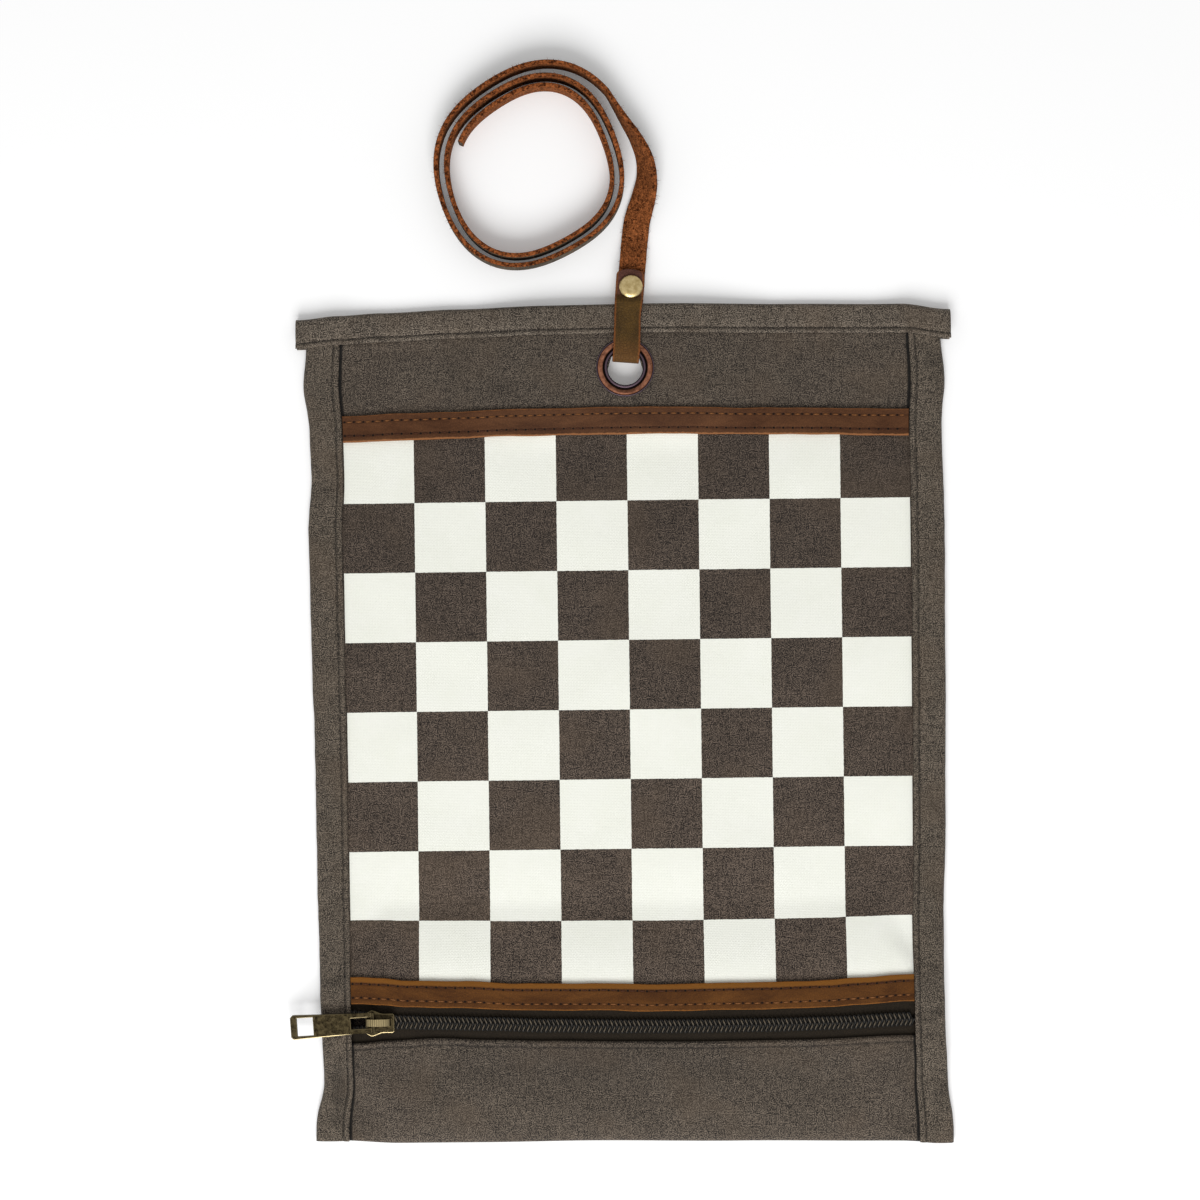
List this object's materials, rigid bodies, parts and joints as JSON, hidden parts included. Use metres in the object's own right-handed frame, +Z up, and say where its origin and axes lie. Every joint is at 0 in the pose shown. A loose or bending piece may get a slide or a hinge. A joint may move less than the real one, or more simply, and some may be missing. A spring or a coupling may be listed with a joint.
{
  "type": "travel chess set",
  "caption": "Roll-up cloth chess board with a zipped pocket along its lower edge, bound edges, leather trims and a leather tie strap through an eyelet, lying unrolled.",
  "frame": {"origin": "on the table, under the middle of the unrolled mat", "axes": "+X across the board towards its right edge, +Y along the mat from the zipped pocket to the eyelet and tie, +Z up from the table"},
  "size_m": [0.2389, 0.3855, 0.0115],
  "materials": {
    "panel_canvas": "waxed canvas",
    "board_canvas": "waxed canvas with printed squares",
    "binding_canvas": "waxed canvas, folded and stitched",
    "trim_leather": "smooth",
    "strap_leather": "smooth outside, suede inside",
    "zip_tape": "woven",
    "zip_coil": "moulded",
    "slider_metal": "antique",
    "eyelet_metal": "antique copper",
    "rivet_metal": "polished"
  },
  "bodies": {
    "mat": {"back_panel": "panel_canvas", "pocket_panel": "panel_canvas", "board_panel": "board_canvas", "top_panel": "panel_canvas", "left_binding": "binding_canvas", "right_binding": "binding_canvas", "top_binding": "binding_canvas", "upper_trim": "trim_leather", "lower_trim": "trim_leather", "upper_zip_tape": "zip_tape", "lower_zip_tape": "zip_tape", "upper_zip_coil": "zip_coil", "lower_zip_coil": "zip_coil", "eyelet": "eyelet_metal", "eyelet_washer": "eyelet_metal"},
    "slider": {"slider_body": "slider_metal"},
    "pull": {"pull_tab": "slider_metal"},
    "tie": {"tie_loop": "strap_leather", "tie_tail": "strap_leather", "tie_coil": "strap_leather", "rivet_cap": "rivet_metal", "rivet_post": "rivet_metal"}
  },
  "joints": [
    {"name": "slider_slide", "type": "slide", "parent": "mat", "child": "slider", "axis": [1, 0, 0], "range_m": [-0.005, 0.185], "deforming": ["upper_zip_coil", "lower_zip_coil"]},
    {"name": "pull_swing", "type": "hinge", "parent": "slider", "child": "pull", "pos_m": [-0.0924, -0.10625, 0.0095], "axis": [-0.0593, 0.9982, 0], "range_deg": [0, 172]},
    {"name": "tie_swing", "type": "hinge", "parent": "mat", "child": "tie", "pos_m": [0, 0.12675, 0.0042], "axis": [0, 0, 1], "range_deg": [-6, 14]}
  ]
}
